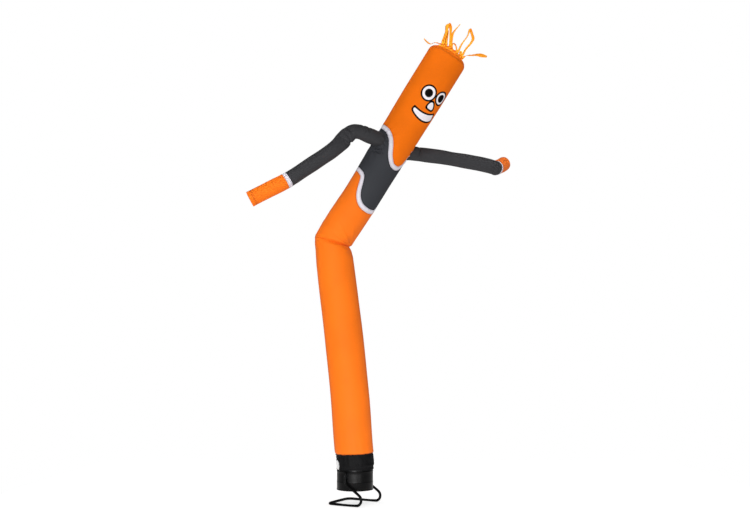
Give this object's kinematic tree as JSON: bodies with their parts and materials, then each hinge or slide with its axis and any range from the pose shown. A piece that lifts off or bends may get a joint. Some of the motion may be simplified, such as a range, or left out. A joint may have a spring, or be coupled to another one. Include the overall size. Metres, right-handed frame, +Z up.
{
  "type": "inflatable air dancer with floor blower",
  "caption": "Tall inflatable tube figure with waving arms, a printed smiling face and ribbon hair, sewn from thin nylon and standing on a black drum blower with a bent bar stand.",
  "frame": {"origin": "on the floor, under the middle of the whole figure's box", "axes": "+Z up; +X towards the side the figure leans to above its knee; the pictured side faces -Y and the figure's own face turns between -Y and +X"},
  "size_m": [3.2092, 1.4742, 5.5494],
  "materials": {
    "orange_nylon": "thin woven nylon with a soft sheen",
    "grey_nylon": "thin woven nylon with a soft sheen",
    "white_nylon": "thin woven nylon with a soft sheen",
    "black_nylon": "coated woven nylon",
    "ribbon_nylon": "thin woven nylon that lets light through",
    "drum_paint": "gloss black paint on sheet steel",
    "guard_steel": "black paint on welded wire",
    "motor_plastic": "black moulded motor cover",
    "stand_paint": "satin black paint on round steel bar",
    "pivot_steel": "zinc plated plate and bolts"
  },
  "bodies": {
    "root": {"lower_tube": "orange_nylon", "lower_trim": "white_nylon", "chest_panel": "grey_nylon", "upper_trim": "white_nylon", "head_panel": "orange_nylon", "base_cuff": "black_nylon", "cuff_patch": "white_nylon", "left_sleeve": "grey_nylon", "left_band": "white_nylon", "left_hand": "orange_nylon", "right_sleeve": "grey_nylon", "right_forearm": "grey_nylon", "right_band": "white_nylon", "right_hand": "orange_nylon", "hair_ribbons": "ribbon_nylon", "blower_drum": "drum_paint", "intake_guard": "guard_steel", "blower_motor": "motor_plastic", "stand_bar": "stand_paint", "front_pivot": "pivot_steel", "back_pivot": "pivot_steel"}
  },
  "joints": []
}
